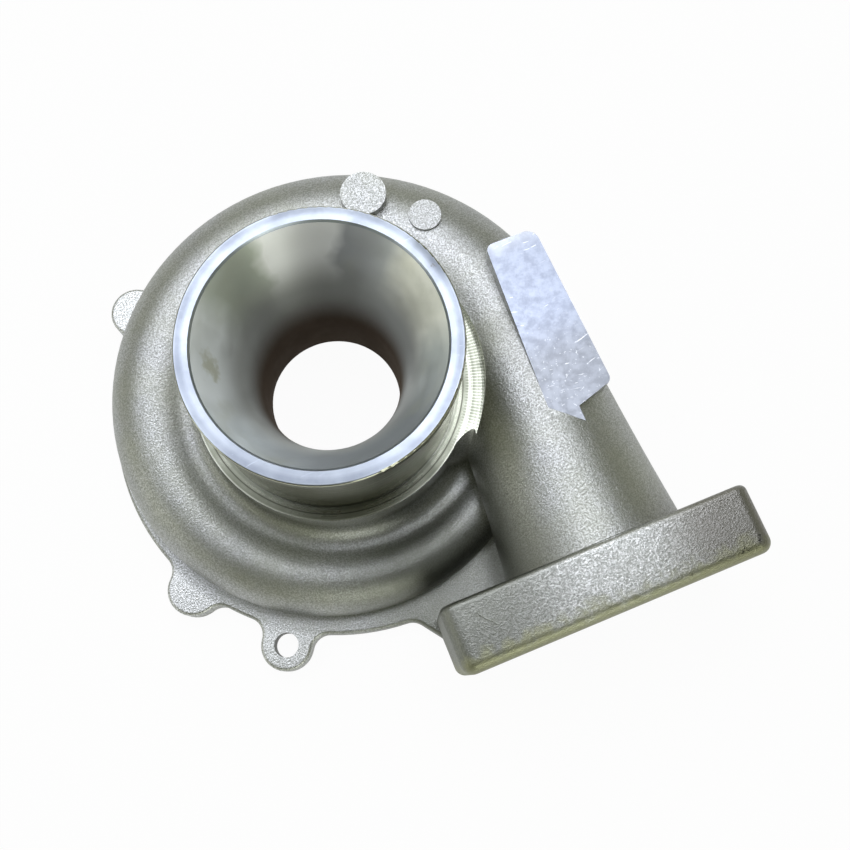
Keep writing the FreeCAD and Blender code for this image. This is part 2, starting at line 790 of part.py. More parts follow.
def register_profile():
    sketch = new_sketch("register_profile", "XZ_Plane")
    radius = get("register_radius")
    depth = get("register_depth")
    low = ZERO - CLEAR
    add_outline(sketch, [(ZERO, low), (radius, low), (radius, depth), (ZERO, depth)], {}, {})
    return sketch


def shoulder_profile():
    sketch = new_sketch("shoulder_profile", "XZ_Plane")
    neck = NECK
    reach = NECK + get("shoulder_width")
    low = get("shoulder_height")
    high = get("total_height") - get("lip_length")
    add_outline(sketch, [(neck, low), (reach, low), (reach, high), (neck, high)], {}, {})
    return sketch


bore = add_turned("Groove", "bore", bore_profile())
diffuser = add_turned("Groove", "diffuser", diffuser_profile())
register = add_turned("Groove", "register", register_profile())
shoulder = add_turned("Groove", "shoulder", shoulder_profile())
pad_face = add_straight("Pocket", "pad_face", pad_outline("pad_face_outline"), get("boss_root"), True)


# Drilled holes

def add_holes(name, sketch, places, radius, depth, reverse):
    for index, (across, up) in enumerate(places):
        add_circle(sketch, "hole_%d" % index, across, up, radius)
    return add_straight("Pocket", name, sketch, depth, reverse)


def on_circle(distance, azimuth):
    return distance * cosine(azimuth), distance * sine(azimuth)


eye_place = on_circle(get("eye_distance"), get("eye_azimuth"))
eye_hole = add_holes(
    "eye_hole", new_sketch("eye_hole_outline", "XY_Plane"), [eye_place], get("eye_hole_radius"),
    get("rim_thickness") + CLEAR, True)

flange_middle = get("flange_left") + get("flange_length") * 0.5
flange_level = get("flange_height") * 0.5
half_x = get("bolt_spacing_x") * 0.5
half_z = get("bolt_spacing_z") * 0.5
flange_places = [
    (flange_middle - half_x, flange_level - half_z), (flange_middle + half_x, flange_level - half_z),
    (flange_middle + half_x, flange_level + half_z), (flange_middle - half_x, flange_level + half_z)]
flange_holes = add_holes(
    "flange_holes", cross_sketch("bolt_outline", get("flange_distance") + get("flange_thickness")),
    flange_places, get("bolt_hole_radius"), get("bolt_hole_depth"), False)

rim_count = int(get("rim_bolt_count").value)
rim_step = Size(FULL_TURN, "%.1f" % FULL_TURN) / get("rim_bolt_count")
rim_places = [
    on_circle(get("rim_bolt_circle"), get("rim_bolt_azimuth") + rim_step * index)
    for index in range(rim_count)]
rim_holes = add_holes(
    "rim_holes", new_sketch("rim_bolt_outline", "XY_Plane"), rim_places, get("rim_bolt_radius"),
    get("rim_bolt_depth"), True)
body.Tip = rim_holes
doc.recompute()

for item in doc.Objects:
    if "Invalid" in item.State or "Error" in item.State:
        raise RuntimeError("%s: %s" % (item.Name, item.getStatusString()))
    if item.isDerivedFrom("PartDesign::Feature") and (item.Shape.isNull() or not item.Shape.isValid()):
        raise RuntimeError("%s has no valid shape" % item.Name)
if len(body.Shape.Solids) != 1:
    raise RuntimeError("the casting isn't one solid")

os.makedirs("parts", exist_ok=True)
body.Shape.exportStep("parts/%s.step" % body.Label)
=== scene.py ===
import math

import bmesh
import bpy
from mathutils import Euler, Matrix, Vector


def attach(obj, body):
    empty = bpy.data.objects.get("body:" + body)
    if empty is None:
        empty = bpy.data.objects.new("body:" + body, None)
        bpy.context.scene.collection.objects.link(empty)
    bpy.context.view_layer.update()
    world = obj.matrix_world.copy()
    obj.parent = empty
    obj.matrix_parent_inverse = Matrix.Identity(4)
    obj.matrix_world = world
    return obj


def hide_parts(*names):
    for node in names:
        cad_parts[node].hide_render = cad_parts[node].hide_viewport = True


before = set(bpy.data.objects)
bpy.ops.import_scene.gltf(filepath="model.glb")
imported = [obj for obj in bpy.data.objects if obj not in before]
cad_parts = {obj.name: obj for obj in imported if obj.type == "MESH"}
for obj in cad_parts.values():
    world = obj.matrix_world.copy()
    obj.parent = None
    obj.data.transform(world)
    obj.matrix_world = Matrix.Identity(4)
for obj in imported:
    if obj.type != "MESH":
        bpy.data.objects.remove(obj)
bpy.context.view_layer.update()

print("frame loaded")


# Camera

camera = {
    "place": (-0.01119, -0.11803, 0.44800),
    "turn": (13.6293, -0.3859, -22.1717),  # degrees, XYZ
    "lens": 44.47,
    "sensor": 36.0,
    "nearest": 0.01,
}


def makeCamera():
    data = bpy.data.cameras.new("camera")
    data.lens = camera["lens"]
    data.sensor_width = camera["sensor"]
    data.clip_start = camera["nearest"]
    holder = bpy.data.objects.new("camera", data)
    holder.location = camera["place"]
    holder.rotation_euler = Euler([math.radians(angle) for angle in camera["turn"]])
    bpy.context.scene.collection.objects.link(holder)
    bpy.context.scene.camera = holder


makeCamera()
print("camera in place")


# Node helpers

def addNode(tree, kind, **settings):
    node = tree.nodes.new(kind)
    for name, value in settings.items():
        setattr(node, name, value)
    return node


def connect(tree, source, target):
    tree.links.new(source, target)


def feed(tree, socket, value):
    # A number, vector or colour is set on the socket, an output is linked to it
    if isinstance(value, (int, float)):
        socket.default_value = value
    elif isinstance(value, tuple):
        socket.default_value = (*value, 1.0) if socket.type == "RGBA" else value
    elif value is not None:
        connect(tree, value, socket)


def mathNode(tree, operation, first, second=None, third=None, clamp=False):
    node = addNode(tree, "ShaderNodeMath", operation=operation, use_clamp=clamp)
    for index, value in enumerate((first, second, third)):
        feed(tree, node.inputs[index], value)
    return node.outputs[0]


def vectorNode(tree, operation, first, second, third=None):
    node = addNode(tree, "ShaderNodeVectorMath", operation=operation)
    for index, value in enumerate((first, second, third)):
        feed(tree, node.inputs[index], value)
    return node.outputs


def rangeNode(tree, value, low, high, start=0.0, end=1.0):
    node = addNode(tree, "ShaderNodeMapRange", interpolation_type="SMOOTHSTEP")
    connect(tree, value, node.inputs["Value"])
    node.inputs["From Min"].default_value = low
    node.inputs["From Max"].default_value = high
    node.inputs["To Min"].default_value = start
    node.inputs["To Max"].default_value = end
    return node.outputs["Result"]


def mixColours(tree, share, first, second):
    node = addNode(tree, "ShaderNodeMix", data_type="RGBA")
    for index, value in ((0, share), (6, first), (7, second)):  # sockets of the colour mix
        feed(tree, node.inputs[index], value)
    return node.outputs[2]


def noiseNode(tree, place, scale, detail=2.0, roughness=0.5, along=False):
    # With along, the place is one number, such as a height
    node = addNode(tree, "ShaderNodeTexNoise", noise_dimensions="1D" if along else "3D")
    node.inputs["Detail"].default_value = detail
    node.inputs["Roughness"].default_value = roughness
    feed(tree, node.inputs["Scale"], scale)
    connect(tree, place, node.inputs["W" if along else "Vector"])
    return node.outputs


def mappingNode(tree, place, kind="POINT", **values):
    node = addNode(tree, "ShaderNodeMapping", vector_type=kind)
    for label, value in values.items():
        node.inputs[label].default_value = value
    connect(tree, place, node.inputs["Vector"])
    return node.outputs["Vector"]


def objectPlace(tree):
    return addNode(tree, "ShaderNodeTexCoord").outputs["Object"]


def axesOf(tree, place):
    parts = addNode(tree, "ShaderNodeSeparateXYZ")
    connect(tree, place, parts.inputs[0])
    return parts.outputs


def radiusOf(tree, axes):
    # Distance from the bore's axis
    squares = [mathNode(tree, "MULTIPLY", axes[label], axes[label]) for label in ("X", "Y")]
    return mathNode(tree, "SQRT", mathNode(tree, "ADD", *squares))


def turnOf(tree, axes):
    # Angle round the bore's axis
    return mathNode(tree, "ARCTAN2", axes["Y"], axes["X"])


def spotMask(tree, place, centre, reach):
    distance = vectorNode(tree, "DISTANCE", place, centre)["Value"]
    return rangeNode(tree, distance, *reach, 1.0, 0.0)


def roughPlace(tree, place, scale, amount):
    # Place shifted by noise, so that a mask gets a ragged edge
    noise = noiseNode(tree, place, scale, detail=3.0)["Color"]
    shifted = vectorNode(tree, "MULTIPLY_ADD", noise, (amount, amount, amount), place)["Vector"]
    half = amount / 2
    return vectorNode(tree, "SUBTRACT", shifted, (half, half, half))["Vector"]


def newGroup(name, inputs, outputs):
    group = bpy.data.node_groups.new(name, "ShaderNodeTree")
    for label, value in inputs.items():
        socket = group.interface.new_socket(label, in_out="INPUT", socket_type="NodeSocketFloat")
        socket.default_value = value
    for label in outputs:
        group.interface.new_socket(label, in_out="OUTPUT", socket_type="NodeSocketFloat")
    return group, addNode(group, "NodeGroupInput").outputs, addNode(group, "NodeGroupOutput").inputs


def placeGroup(tree, group, **values):
    node = addNode(tree, "ShaderNodeGroup", node_tree=group)
    for label, value in values.items():
        node.inputs[label].default_value = value
    return node.outputs


# Shared effects

grainLook = {
    "grain": 1500.0,
    "grainNoise": (3.0, 0.65),  # detail and roughness
    "peel": 900.0,
    "peelShare": 0.35,
    "sparkle": (0.38, 0.64),
    "cloudScale": 34.0,
    "cloudNoise": (3.0, 0.55),
    "cloud": (0.3, 0.7),
}


def makeCastGrain():
    # Blasted skin: fine grains, coarser orange peel and slow tone changes
    inputs = {"Grain": grainLook["grain"], "Peel": grainLook["peel"]}
    group, inside, outside = newGroup("castGrain", inputs, ("Height", "Sparkle", "Cloud"))
    place = objectPlace(group)
    grain = noiseNode(group, place, inside["Grain"], *grainLook["grainNoise"])["Fac"]
    peel = noiseNode(group, place, inside["Peel"])["Fac"]
    cloud = noiseNode(group, place, grainLook["cloudScale"], *grainLook["cloudNoise"])["Fac"]
    coarse = mathNode(group, "MULTIPLY", peel, grainLook["peelShare"])
    connect(group, mathNode(group, "ADD", grain, coarse), outside["Height"])
    connect(group, rangeNode(group, grain, *grainLook["sparkle"]), outside["Sparkle"])
    connect(group, rangeNode(group, cloud, *grainLook["cloud"]), outside["Cloud"])
    return group


lineLook = {
    "fine": 2600.0,
    "broad": 420.0,
    "band": (0.35, 0.65),
    "cloudScale": 60.0,
    "cloudNoise": (4.0, 0.6),  # detail and roughness
    "cloud": (0.32, 0.68),
}


def makeTurnedLines():
    # Tool marks of turning: rings on flat faces, hoops on walls
    inputs = {"Fine": lineLook["fine"], "Broad": lineLook["broad"]}
    group, inside, outside = newGroup("turnedLines", inputs, ("Height", "Band", "Cloud"))
    place = objectPlace(group)
    axes = axesOf(group, place)
    path = mathNode(group, "ADD", radiusOf(group, axes), axes["Z"])
    fine = noiseNode(group, path, inside["Fine"], along=True)["Fac"]
    broad = noiseNode(group, path, inside["Broad"], along=True)["Fac"]
    cloud = noiseNode(group, place, lineLook["cloudScale"], *lineLook["cloudNoise"])["Fac"]
    connect(group, fine, outside["Height"])
    connect(group, rangeNode(group, broad, *lineLook["band"]), outside["Band"])
    connect(group, rangeNode(group, cloud, *lineLook["cloud"]), outside["Cloud"])
    return group


wearLook = {
    "scratch": 1500.0,
    "scratchDetail": 1.0,
    "stain": 90.0,
    "stainDetail": 4.0,
    "bendScale": 30.0,
    "bend": (0.012, 0.012, 0.012),
    "direction": 64.0,  # degrees
    "stretch": 0.05,
    "scratched": (0.69, 0.73),
    "patchScale": 75.0,
    "patch": (0.46, 0.60),
    "stained": (0.5, 0.72),
}


def makeHandling():
    # Short scratches and dull stains of handling
    inputs = {"Scratch": wearLook["scratch"], "Stain": wearLook["stain"]}
    group, inside, outside = newGroup("handling", inputs, ("Scratch", "Stain"))
    place = objectPlace(group)
    bend = noiseNode(group, place, wearLook["bendScale"])["Color"]
    bent = vectorNode(group, "MULTIPLY_ADD", bend, wearLook["bend"], place)["Vector"]
    turn = (0.0, 0.0, math.radians(wearLook["direction"]))
    long = mappingNode(group, bent, Rotation=turn, Scale=(wearLook["stretch"], 1.0, 1.0))
    marks = noiseNode(group, long, inside["Scratch"], wearLook["scratchDetail"])["Fac"]
    marks = rangeNode(group, marks, *wearLook["scratched"])
    patches = noiseNode(group, place, wearLook["patchScale"])["Fac"]
    patches = rangeNode(group, patches, *wearLook["patch"])
    stain = noiseNode(group, place, inside["Stain"], wearLook["stainDetail"])["Fac"]
    connect(group, mathNode(group, "MULTIPLY", marks, patches), outside["Scratch"])
    connect(group, rangeNode(group, stain, *wearLook["stained"]), outside["Stain"])
    return group


castGrain = makeCastGrain()
turnedLines = makeTurnedLines()
handling = makeHandling()


# Materials

def newMaterial(name, roughness=None, anisotropy=0.0):
    material = bpy.data.materials.new(name)
    material.use_nodes = True
    tree = material.node_tree
    shader = tree.nodes["Principled BSDF"]
    shader.inputs["Metallic"].default_value = 1.0
    if roughness is not None:
        shader.inputs["Roughness"].default_value = roughness
    if anisotropy:
        shader.inputs["Anisotropic"].default_value = anisotropy
        shader.inputs["Anisotropic Rotation"].default_value = 0.25  # a quarter turn
        tangent = addNode(tree, "ShaderNodeTangent", direction_type="RADIAL", axis="Z")
        connect(tree, tangent.outputs[0], shader.inputs["Tangent"])
    return material, tree, shader


def addBump(tree, shader, height, strength, depth):
    bump = addNode(tree, "ShaderNodeBump")
    bump.inputs["Strength"].default_value = strength
    bump.inputs["Distance"].default_value = depth
    connect(tree, height, bump.inputs["Height"])
    connect(tree, bump.outputs[0], shader.inputs["Normal"])


castLook = {
    "light": (0.62, 0.625, 0.64),
    "dark": (0.36, 0.365, 0.355),
    "olive": (0.40, 0.41, 0.31),
    "oliveShare": 0.35,
    "smooth": 0.33,
    "rough": 0.46,
    "grainDepth": 0.00019,
    # Painted olive shade on the rounded front edge of the outlet flange
    "edgeShadeOlive": (0.37, 0.37, 0.24),
    "edgeBand": (-0.1225, -0.1150),
    "paintedEdgeShare": 0.8,
    "edgeRagged": (210.0, 0.016),  # scale and amount of the noise
    # Colours and reach of the painted highlight on the flange top and the lugs at the left
    "highlightDark": (0.50, 0.51, 0.50),
    "highlightBright": (1.0, 1.0, 1.0),
    "flangeTop": (0.0700, 0.0708),
    "flangeHighlight": 0.6,
    "lugReach": (0.0945, 0.0975),
    "lugTop": (0.0101, 0.0125),
    "lugSide": (-0.030, -0.010),
    "lugHighlight": 0.6,
}
castSpots = {
    "ragged": (420.0, 0.010),
    # First spot: painted shade over the web and the left end of the flange
    "stainAndShade": dict(colour=(0.235, 0.24, 0.215), place=(0.012, -0.100, 0.045), reach=(0.028, 0.060), share=0.9),
    "brown": dict(colour=(0.26, 0.245, 0.225), place=(0.120, -0.110, 0.071), reach=(0.012, 0.042), share=0.8),
}
castPits = {
    "places": ((0.1152, -0.1198, 0.071), (0.1140, -0.1210, 0.071), (0.1163, -0.1209, 0.071),
               (0.1221, -0.1176, 0.0708), (0.1214, -0.1192, 0.0708), (0.0935, -0.1215, 0.071)),
    "reach": (0.0001, 0.0009),
    "ragged": (1100.0, 0.0022),
    "colour": (0.02, 0.02, 0.02),
}
castVein = {
    "place": (0.0192, -0.1076, 0.071),
    "angle": -48.0,
    "ends": (0.00385, 0.0055),  # half length, where it starts to fade and where it stops
    "width": 0.00045,
    "ragged": (300.0, 0.0025),
    "colour": (0.80, 0.81, 0.80),
    "share": 0.5,
    "rise": 0.8,
}


def paintedHighlightMask(tree, axes):
    # Painted highlight on the top of the outlet flange and on the lugs at the left
    flange = rangeNode(tree, axes["Z"], *castLook["flangeTop"], 0.0, castLook["flangeHighlight"])
    outside = rangeNode(tree, radiusOf(tree, axes), *castLook["lugReach"], 0.0, castLook["lugHighlight"])
    low = rangeNode(tree, axes["Z"], *castLook["lugTop"], 1.0, 0.0)
    side = rangeNode(tree, axes["X"], *castLook["lugSide"], 1.0, 0.0)
    lugs = mathNode(tree, "MULTIPLY", outside, mathNode(tree, "MULTIPLY", low, side))
    return mathNode(tree, "MAXIMUM", flange, lugs)


def skinColour(tree, grain, place):
    # Grain, slow olive tone, painted highlight on the flats, two spots (painted shade over the web and a
    # brown spot) and painted olive shade along the front edge
    sparkle = grain["Sparkle"]
    colour = mixColours(tree, sparkle, castLook["dark"], castLook["light"])
    slow = mathNode(tree, "MULTIPLY", grain["Cloud"], castLook["oliveShare"])
    colour = mixColours(tree, slow, colour, castLook["olive"])
    # Painted highlight on the flange top and the lugs at the left
    paintedHighlight = mixColours(tree, sparkle, castLook["highlightDark"], castLook["highlightBright"])
    colour = mixColours(tree, paintedHighlightMask(tree, axesOf(tree, place)), colour, paintedHighlight)
    ragged = roughPlace(tree, place, *castSpots["ragged"])
    # The first spot is painted shade over the web and the flange's left end, the second a brown spot at the
    # flange's right end
    for look in (castSpots["stainAndShade"], castSpots["brown"]):
        spot = spotMask(tree, ragged, look["place"], look["reach"])
        colour = mixColours(tree, mathNode(tree, "MULTIPLY", spot, look["share"]), colour, look["colour"])
    # Painted olive shade along the rounded front edge of the outlet flange
    front = axesOf(tree, roughPlace(tree, place, *castLook["edgeRagged"]))["Y"]
    paintedEdge = rangeNode(tree, front, *castLook["edgeBand"], castLook["paintedEdgeShare"], 0.0)
    return mixColours(tree, paintedEdge, colour, castLook["edgeShadeOlive"])


def pitMask(tree, place):
    ragged = roughPlace(tree, place, *castPits["ragged"])
    pits = 0.0
    for spot in castPits["places"]:
        pits = mathNode(tree, "MAXIMUM", spotMask(tree, ragged, spot, castPits["reach"]), pits)
    return pits


def veinMask(tree, place):
    # Raised hairline where the mould cracked
    ragged = roughPlace(tree, place, *castVein["ragged"])
    turn = (0.0, 0.0, math.radians(castVein["angle"]))
    axes = axesOf(tree, mappingNode(tree, ragged, "TEXTURE", Location=castVein["place"], Rotation=turn))
    line = rangeNode(tree, mathNode(tree, "ABSOLUTE", axes["Y"]), 0.0, castVein["width"], 1.0, 0.0)
    ends = rangeNode(tree, mathNode(tree, "ABSOLUTE", axes["X"]), *castVein["ends"], 1.0, 0.0)
    return mathNode(tree, "MULTIPLY", line, ends)


def makeCastSkin():
    material, tree, shader = newMaterial("castSkin")
    grain = placeGroup(tree, castGrain)
    place = objectPlace(tree)
    vein = veinMask(tree, place)
    colour = skinColour(tree, grain, place)
    colour = mixColours(tree, mathNode(tree, "MULTIPLY", vein, castVein["share"]), colour, castVein["colour"])
    colour = mixColours(tree, pitMask(tree, place), colour, castPits["colour"])
    connect(tree, colour, shader.inputs["Base Color"])
    rough = rangeNode(tree, grain["Sparkle"], 0.0, 1.0, castLook["rough"], castLook["smooth"])
    connect(tree, rough, shader.inputs["Roughness"])
    height = mathNode(tree, "ADD", grain["Height"], mathNode(tree, "MULTIPLY", vein, castVein["rise"]))
    addBump(tree, shader, height, 1.0, castLook["grainDepth"])
    return material


turnedLooks = {
    "inletRing": dict(
        light=(0.47, 0.51, 0.58), dark=(0.29, 0.32, 0.39), smooth=0.32, rough=0.40, clouds=0.55,
        fine=2200.0, broad=260.0, anisotropy=0.2, depth=0.00001, scratch=0.5, stain=0.4),
    "neckWall": dict(
        light=(0.50, 0.50, 0.42), dark=(0.26, 0.26, 0.20), smooth=0.14, rough=0.26, clouds=0.2,
        fine=3200.0, broad=620.0, anisotropy=0.5, depth=0.00001, scratch=0.1, stain=0.1),
    "shoulderCut": dict(
        light=(0.36, 0.37, 0.31), dark=(0.20, 0.21, 0.165), smooth=0.22, rough=0.36, clouds=0.55,
        fine=2000.0, broad=700.0, anisotropy=0.3, depth=0.000014, scratch=0.2, stain=0.2),
    "backFace": dict(
        light=(0.74, 0.76, 0.78), dark=(0.60, 0.62, 0.64), smooth=0.26, rough=0.40, clouds=0.55,
        fine=1800.0, broad=240.0, anisotropy=0.4, depth=0.000012, scratch=0.4, stain=0.4),
}
turnedWear = {
    "scratchGain": 1.25,
    "stainGain": 0.86,
    "lineStrength": 0.5,
}
shoulderMarks = {
    # Painted shadow at the foot of the collar
    "footHeight": (0.0525, 0.0542),
    "footShadowColour": (0.02, 0.02, 0.018),
    "lineRadius": 0.0519,
    "lineHalf": (0.00014, 0.00028),
    "lineColour": (0.10, 0.10, 0.08),
    # Painted highlight on the shoulder's outer edge; its colour also tints the chatter
    "edgeFrom": (0.0538, 0.0543),
    "edgeTo": 0.0548,
    "paintedEdgeShare": 0.6,
    "chatterAndHighlightColour": (0.66, 0.67, 0.58),
    "chatterCount": 286.0,
    "chatterWave": (-0.2, 0.9),
    "chatterRadius": (0.0525, 0.0540),
    "chatterStarts": (-0.95, -0.80),  # radians round the axis
    "chatterStops": (0.10, 0.25),
    "chatterShare": 0.5,
}
ringNick = {
    "place": (0.0474, 0.0113, 0.102),
    "reach": (0.0003, 0.0011),
    "ragged": (1100.0, 0.0036),
    "colour": (0.22, 0.21, 0.20),
    "share": 0.8,
}


def paintFootShadow(tree, colour):
    # Painted shadow in the undercut where the collar meets the shoulder
    height = axesOf(tree, objectPlace(tree))["Z"]
    foot = rangeNode(tree, height, *shoulderMarks["footHeight"], 1.0, 0.0)
    return mixColours(tree, foot, colour, shoulderMarks["footShadowColour"])


def chatterMask(tree, radius, turn):
    wave = mathNode(tree, "SINE", mathNode(tree, "MULTIPLY", turn, shoulderMarks["chatterCount"]))
    wave = rangeNode(tree, wave, *shoulderMarks["chatterWave"])
    starts = rangeNode(tree, turn, *shoulderMarks["chatterStarts"])
    stops = rangeNode(tree, turn, *shoulderMarks["chatterStops"], 1.0, 0.0)
    outer = rangeNode(tree, radius, *shoulderMarks["chatterRadius"])
    here = mathNode(tree, "MULTIPLY", mathNode(tree, "MULTIPLY", starts, stops), outer)
    return mathNode(tree, "MULTIPLY", wave, here)


def markShoulder(tree, colour):
    # Tool line, chatter and a painted highlight on the outer edge of the facing cut
    axes = axesOf(tree, objectPlace(tree))
    radius = radiusOf(tree, axes)
    offset = mathNode(tree, "ABSOLUTE", mathNode(tree, "SUBTRACT", radius, shoulderMarks["lineRadius"]))
    line = rangeNode(tree, offset, *shoulderMarks["lineHalf"], 1.0, 0.0)
    colour = mixColours(tree, line, colour, shoulderMarks["lineColour"])
    chatter = chatterMask(tree, radius, turnOf(tree, axes))
    chatter = mathNode(tree, "MULTIPLY", chatter, shoulderMarks["chatterShare"])
    colour = mixColours(tree, chatter, colour, shoulderMarks["chatterAndHighlightColour"])
    # Painted highlight along the outer edge of the shoulder
    paintedEdge = rangeNode(tree, radius, *shoulderMarks["edgeFrom"], 0.0, shoulderMarks["paintedEdgeShare"])
    paintedEdge = mathNode(tree, "MULTIPLY", paintedEdge, mathNode(tree, "LESS_THAN", radius, shoulderMarks["edgeTo"]))
    return mixColours(tree, paintedEdge, colour, shoulderMarks["chatterAndHighlightColour"])


def markNick(tree, colour):
    # Small dark nick in the face of the ring
    ragged = roughPlace(tree, objectPlace(tree), *ringNick["ragged"])
    nick = spotMask(tree, ragged, ringNick["place"], ringNick["reach"])
    return mixColours(tree, mathNode(tree, "MULTIPLY", nick, ringNick["share"]), colour, ringNick["colour"])


marksAndPaintedLight = {"inletRing": markNick, "neckWall": paintFootShadow, "shoulderCut": markShoulder}


def makeTurned(name, look):
    material, tree, shader = newMaterial(name, anisotropy=look["anisotropy"])
    lines = placeGroup(tree, turnedLines, Fine=look["fine"], Broad=look["broad"])
    wear = placeGroup(tree, handling)
    clouds = mathNode(tree, "MULTIPLY", lines["Cloud"], look["clouds"])
    bands = mathNode(tree, "MULTIPLY", lines["Band"], 1.0 - look["clouds"])
    tone = mathNode(tree, "ADD", clouds, bands, clamp=True)
    colour = mixColours(tree, tone, look["dark"], look["light"])
    scratch = mathNode(tree, "MULTIPLY", wear["Scratch"], look["scratch"])
    stain = mathNode(tree, "MULTIPLY", wear["Stain"], look["stain"])
    bright = tuple(min(1.0, part * turnedWear["scratchGain"]) for part in look["light"])
    stainAndShade = tuple(part * turnedWear["stainGain"] for part in look["dark"])
    colour = mixColours(tree, scratch, colour, bright)
    colour = mixColours(tree, stain, colour, stainAndShade)
    if name in marksAndPaintedLight:
        colour = marksAndPaintedLight[name](tree, colour)
    connect(tree, colour, shader.inputs["Base Color"])
    rough = rangeNode(tree, tone, 0.0, 1.0, look["rough"], look["smooth"])
    connect(tree, rough, shader.inputs["Roughness"])
    addBump(tree, shader, lines["Height"], turnedWear["lineStrength"], look["depth"])
    return material


bellLook = {
    "middle": (0.46, 0.47, 0.45),
    # Painted shade deep in the bore, dark brown
    "throat": (0.10, 0.07, 0.045),
    "lowerHeights": (0.046, 0.070),
    "upperHeights": (0.070, 0.092),
    # Sectors round the mouth, partly painted reflections
    "round": (  # degrees round the axis, colour near the mouth
        (-180, (0.80, 0.83, 0.84)), (-150, (0.62, 0.66, 0.68)), (-115, (0.34, 0.36, 0.38)),
        (-60, (0.30, 0.32, 0.33)), (-25, (0.52, 0.55, 0.52)), (-5, (1.0, 1.0, 0.90)),
        (18, (1.0, 1.0, 0.89)), (36, (0.58, 0.60, 0.59)), (56, (0.46, 0.47, 0.49)),
        (63, (1.0, 1.0, 1.0)), (97, (1.0, 1.0, 1.0)), (104, (0.60, 0.64, 0.56)),
        (128, (0.60, 0.64, 0.55)), (150, (0.92, 0.95, 0.94)), (180, (0.80, 0.83, 0.84))),
    "waver": (45.0, 0.02),
    "stain": (0.50, 0.50, 0.38),
    "stainPlace": (-0.0405, 0.0095, 0.090),
    "stainReach": (0.0030, 0.0074),
    "stainRagged": (260.0, 0.010),
    "stainShare": 0.7,
    "blotScale": 55.0,
    "blotShare": 0.25,
    "smooth": 0.48,
    "rough": 0.55,
    "anisotropy": 0.85,
    "fine": 3000.0,
    "broad": 260.0,
    "lineStrength": 0.4,
    "lineDepth": 0.000008,
}


def roundColour(tree, place):
    # Light and dark sectors round the bore, listed one by one: partly painted reflections, partly the bore's
    # own tone
    turn = turnOf(tree, axesOf(tree, roughPlace(tree, place, *bellLook["waver"])))
    ramp = addNode(tree, "ShaderNodeValToRGB")
    stops = ramp.color_ramp.elements
    stops.remove(stops[1])
    stops[0].color = (*bellLook["round"][0][1], 1.0)
    for angle, colour in bellLook["round"][1:]:
        stops.new((angle + 180) / 360).color = (*colour, 1.0)
    connect(tree, mathNode(tree, "MULTIPLY_ADD", turn, 0.5 / math.pi, 0.5), ramp.inputs["Fac"])
    return ramp.outputs["Color"]


def makeBell():
    # Bore turned fine: bright at the mouth, towards the wheel painted shade darkens it to a dull brown
    material, tree, shader = newMaterial("bellMouth", anisotropy=bellLook["anisotropy"])
    place = objectPlace(tree)
    height = axesOf(tree, place)["Z"]
    lines = placeGroup(tree, turnedLines, Fine=bellLook["fine"], Broad=bellLook["broad"])
    wear = placeGroup(tree, handling, Stain=bellLook["blotScale"])
    lower = rangeNode(tree, height, *bellLook["lowerHeights"])
    upper = rangeNode(tree, height, *bellLook["upperHeights"])
    # Painted shade: darker and brown towards the wheel
    colour = mixColours(tree, lower, bellLook["throat"], bellLook["middle"])
    # Painted reflections, in part, in the sectors round the mouth
    colour = mixColours(tree, upper, colour, roundColour(tree, place))
    ragged = roughPlace(tree, place, *bellLook["stainRagged"])
    stain = spotMask(tree, ragged, bellLook["stainPlace"], bellLook["stainReach"])
    stain = mathNode(tree, "MULTIPLY", stain, bellLook["stainShare"])
    blots = mathNode(tree, "MULTIPLY", wear["Stain"], bellLook["blotShare"])
    stain = mathNode(tree, "MAXIMUM", stain, mathNode(tree, "MULTIPLY", blots, upper))
    connect(tree, mixColours(tree, stain, colour, bellLook["stain"]), shader.inputs["Base Color"])
    rough = rangeNode(tree, lines["Cloud"], 0.0, 1.0, bellLook["rough"], bellLook["smooth"])
    connect(tree, rough, shader.inputs["Roughness"])
    addBump(tree, shader, lines["Height"], bellLook["lineStrength"], bellLook["lineDepth"])
    return material


padLook = {
    "light": (0.38, 0.415, 0.505),
    "dark": (0.32, 0.35, 0.435),
    "mottleScale": 260.0,
    "mottleNoise": (5.0, 0.75),  # detail and roughness
    "mottle": (0.32, 0.66),
    # Painted reflection whitening the upper end of the face
    "bright": (1.0, 1.0, 1.0),
    "reflectionPart": (0.016, 0.046),  # along Y
    # Darker grey towards the low end of the face
    "lowEndGrey": (0.25, 0.26, 0.28),
    "lowEndPart": (-0.030, -0.005),
    "lowEndShare": 0.8,
    "chip": (0.70, 0.72, 0.75),
    "chipScale": 700.0,
    "chipNoise": (3.0, 0.7),
    "chipped": (0.62, 0.67),
    "chipShare": 0.7,
    "scratch": (0.95, 0.96, 0.98),
    "scratchShare": 0.6,
    "rough": 0.41,
    "smooth": 0.35,
    "strokeScale": 2400.0,
    "strokeNoise": (3.0, 0.6),
    "strokeStretch": 0.08,
    "strokeStrength": 0.4,
    "strokeDepth": 0.00001,
}


